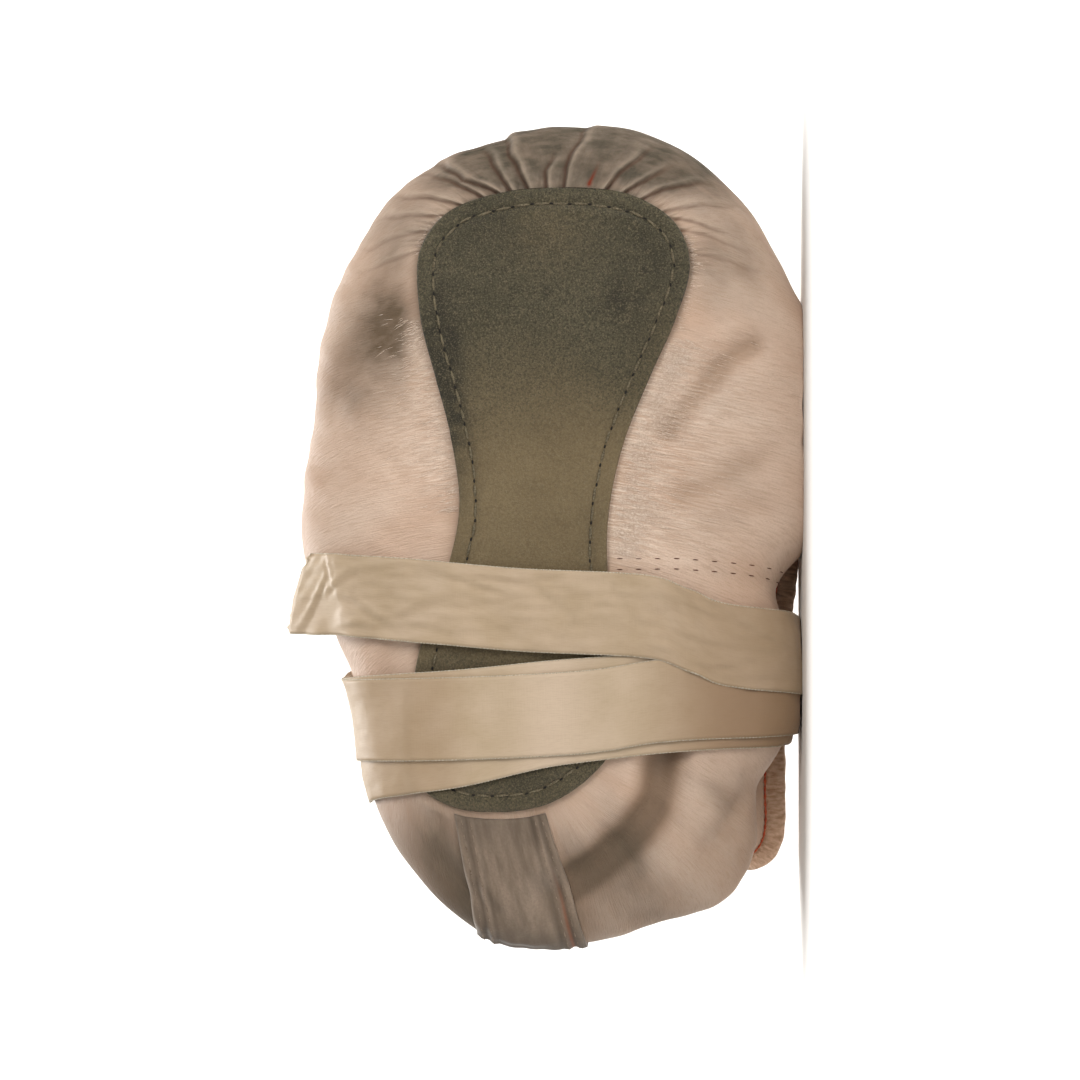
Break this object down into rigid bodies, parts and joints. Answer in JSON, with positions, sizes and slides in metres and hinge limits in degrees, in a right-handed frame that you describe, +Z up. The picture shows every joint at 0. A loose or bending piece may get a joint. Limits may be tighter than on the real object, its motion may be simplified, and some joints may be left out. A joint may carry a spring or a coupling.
{
  "type": "ballet slipper",
  "caption": "Child's soft satin ballet slipper, slack and flattened, lying on its side with a ribbon wound round the quarters.",
  "frame": {"origin": "middle of the part's box, on the floor that the shoe lies on", "axes": "+X from heel to toe, -Y out of the sole and +Y out of the foot opening, +Z up from the floor"},
  "size_m": [0.2248, 0.0416, 0.1409],
  "materials": {
    "sole_suede": "worn grey-olive split suede, dark with floor dirt, edge stitched",
    "upper_satin": "pale peach satin, soft sheen, gathered at the toe",
    "insole_cotton": "plain cream cotton lining",
    "casing_cotton": "gathered peach cotton casing",
    "heel_tape": "greyish pink tape, stitched down both edges",
    "ribbon_satin": "beige cream satin ribbon with woven edges"
  },
  "bodies": {
    "root": {"sole": "sole_suede", "upper": "upper_satin", "insole": "insole_cotton", "topline_binding": "casing_cotton", "heel_tape": "heel_tape", "ribbon": "ribbon_satin"}
  },
  "joints": []
}
